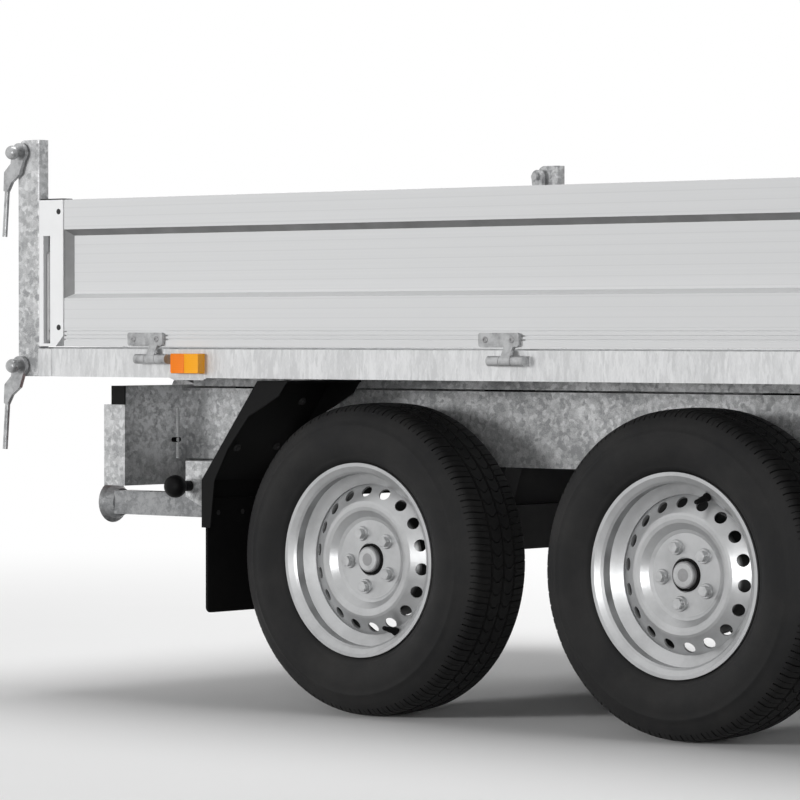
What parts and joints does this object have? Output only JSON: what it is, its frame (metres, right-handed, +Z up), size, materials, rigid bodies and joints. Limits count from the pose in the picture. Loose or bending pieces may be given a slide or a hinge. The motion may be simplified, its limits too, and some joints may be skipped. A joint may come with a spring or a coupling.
{
  "type": "tipper trailer",
  "caption": "Tandem-axle tipper trailer with folding dropsides, a top-hung tailgate, a telescopic tipping ram, swing-down rear legs and a jockey wheel.",
  "frame": {"origin": "on the ground under the middle of the overall length and width", "axes": "+X forward to the coupling, +Y to the left side, +Z up"},
  "size_m": [4.24, 1.8898, 1.18],
  "materials": {
    "galvanised": "spangled hot-dip zinc",
    "aluminium": "anodised, satin",
    "black_plastic": "matt, lightly grained",
    "rubber": "matt",
    "tyre": "matt",
    "rim_silver": "satin silver paint",
    "hub_steel": "zinc plated",
    "amber_lamp": "clear gloss",
    "red_lamp": "clear gloss",
    "cast_black": "satin black paint",
    "ram_black": "gloss black paint",
    "ram_chrome": "polished"
  },
  "bodies": {
    "chassis": {"main_beams": "galvanised", "cross_members": "galvanised", "light_beam": "galvanised", "tube_end_caps": "black_plastic", "tip_brackets": "galvanised", "bed_buffers": "rubber", "tail_lamps": "red_lamp", "axle_tubes": "galvanised", "swing_arms": "galvanised", "mudguards": "black_plastic", "mud_flaps": "rubber", "leg_brackets": "galvanised", "leg_knobs": "black_plastic", "drawbar": "galvanised", "overrun_housing": "cast_black", "drawbar_gaiter": "rubber", "coupling_head": "cast_black", "handbrake_lever": "galvanised", "jockey_tube": "galvanised", "pump_bars": "galvanised", "pump_box": "black_plastic"},
    "bed": {"bed_rails": "galvanised", "bed_bearers": "galvanised", "bed_runners": "galvanised", "bed_floor": "galvanised", "rear_posts": "galvanised", "front_posts": "galvanised", "front_board": "aluminium", "hinge_knuckles": "galvanised", "marker_lamps": "amber_lamp", "post_latches": "galvanised"},
    "tailgate": {"tailgate_panel": "aluminium", "tailgate_arms": "galvanised"},
    "jockey_leg": {"jockey_leg": "galvanised"},
    "jockey_fork": {"jockey_fork": "galvanised"},
    "jockey_wheel": {"jockey_wheel": "rubber"},
    "ram_barrel": {"ram_barrel": "ram_black"},
    "ram_stage_1": {"ram_stage_1": "ram_chrome"},
    "ram_stage_2": {"ram_stage_2": "ram_chrome"},
    "ram_stage_3": {"ram_stage_3": "ram_chrome"},
    "dropside_left": {"dropside_left": "aluminium", "dropside_locks_left": "aluminium", "dropside_hinges_left": "galvanised"},
    "stabiliser_leg_left": {"stabiliser_leg_left": "galvanised"},
    "wheel_front_left": {"tyre_front_left": "tyre", "rim_front_left": "rim_silver", "hub_front_left": "hub_steel"},
    "wheel_rear_left": {"tyre_rear_left": "tyre", "rim_rear_left": "rim_silver", "hub_rear_left": "hub_steel"},
    "dropside_right": {"dropside_right": "aluminium", "dropside_locks_right": "aluminium", "dropside_hinges_right": "galvanised"},
    "stabiliser_leg_right": {"stabiliser_leg_right": "galvanised"},
    "wheel_front_right": {"tyre_front_right": "tyre", "rim_front_right": "rim_silver", "hub_front_right": "hub_steel"},
    "wheel_rear_right": {"tyre_rear_right": "tyre", "rim_rear_right": "rim_silver", "hub_rear_right": "hub_steel"}
  },
  "joints": [
    {"name": "bed_tip", "type": "hinge", "parent": "chassis", "child": "bed", "pos_m": [-1.958, 0, 0.65], "axis": [0, -1, 0], "range_deg": [0, 45]},
    {"name": "dropside_left_fold", "type": "hinge", "parent": "bed", "child": "dropside_left", "pos_m": [-0.72, 0.914, 0.7155], "axis": [-1, 0, 0], "range_deg": [0, 180]},
    {"name": "dropside_right_fold", "type": "hinge", "parent": "bed", "child": "dropside_right", "pos_m": [-0.72, -0.914, 0.7155], "axis": [1, 0, 0], "range_deg": [0, 180]},
    {"name": "tailgate_swing", "type": "hinge", "parent": "bed", "child": "tailgate", "pos_m": [-2.068, 0, 1.153], "axis": [0, 1, 0], "range_deg": [0, 90]},
    {"name": "wheel_front_left_roll", "type": "hinge", "parent": "chassis", "child": "wheel_front_left", "pos_m": [-0.378, 0.759, 0.3145], "axis": [0, 1, 0], "continuous": true},
    {"name": "wheel_front_right_roll", "type": "hinge", "parent": "chassis", "child": "wheel_front_right", "pos_m": [-0.378, -0.759, 0.3145], "axis": [0, 1, 0], "continuous": true},
    {"name": "wheel_rear_left_roll", "type": "hinge", "parent": "chassis", "child": "wheel_rear_left", "pos_m": [-1.168, 0.759, 0.3145], "axis": [0, 1, 0], "continuous": true},
    {"name": "wheel_rear_right_roll", "type": "hinge", "parent": "chassis", "child": "wheel_rear_right", "pos_m": [-1.168, -0.759, 0.3145], "axis": [0, 1, 0], "continuous": true},
    {"name": "jockey_height", "type": "slide", "parent": "chassis", "child": "jockey_leg", "axis": [0, 0, 1], "range_m": [0, 0.16]},
    {"name": "jockey_swivel", "type": "hinge", "parent": "jockey_leg", "child": "jockey_fork", "pos_m": [1.712, 0.11, 0.245], "axis": [0, 0, 1], "continuous": true},
    {"name": "jockey_roll", "type": "hinge", "parent": "jockey_fork", "child": "jockey_wheel", "pos_m": [1.667, 0.11, 0.105], "axis": [0, 1, 0], "continuous": true},
    {"name": "stabiliser_left_swing", "type": "hinge", "parent": "chassis", "child": "stabiliser_leg_left", "pos_m": [-1.618, 0.7, 0.405], "axis": [0, -1, 0], "range_deg": [0, 90]},
    {"name": "stabiliser_right_swing", "type": "hinge", "parent": "chassis", "child": "stabiliser_leg_right", "pos_m": [-1.618, -0.7, 0.405], "axis": [0, -1, 0], "range_deg": [0, 90]},
    {"name": "ram_swing", "type": "hinge", "parent": "chassis", "child": "ram_barrel", "pos_m": [-0.648, 0, 0.52], "axis": [0, -1, 0], "range_deg": [0, 20.25]},
    {"name": "ram_stage_1_slide", "type": "slide", "parent": "ram_barrel", "child": "ram_stage_1", "axis": [0, 0, 1], "range_m": [0, 0.3326]},
    {"name": "ram_stage_2_slide", "type": "slide", "parent": "ram_stage_1", "child": "ram_stage_2", "axis": [0, 0, 1], "range_m": [0, 0.3326]},
    {"name": "ram_stage_3_slide", "type": "slide", "parent": "ram_stage_2", "child": "ram_stage_3", "axis": [0, 0, 1], "range_m": [0, 0.3326]}
  ],
  "couplings": [
    {"joint": "ram_swing", "follows": "bed_tip", "ratio": 0.43879},
    {"joint": "ram_stage_1_slide", "follows": "bed_tip", "m_per_rad": 0.4222},
    {"joint": "ram_stage_2_slide", "follows": "bed_tip", "m_per_rad": 0.4222},
    {"joint": "ram_stage_3_slide", "follows": "bed_tip", "m_per_rad": 0.4222}
  ]
}
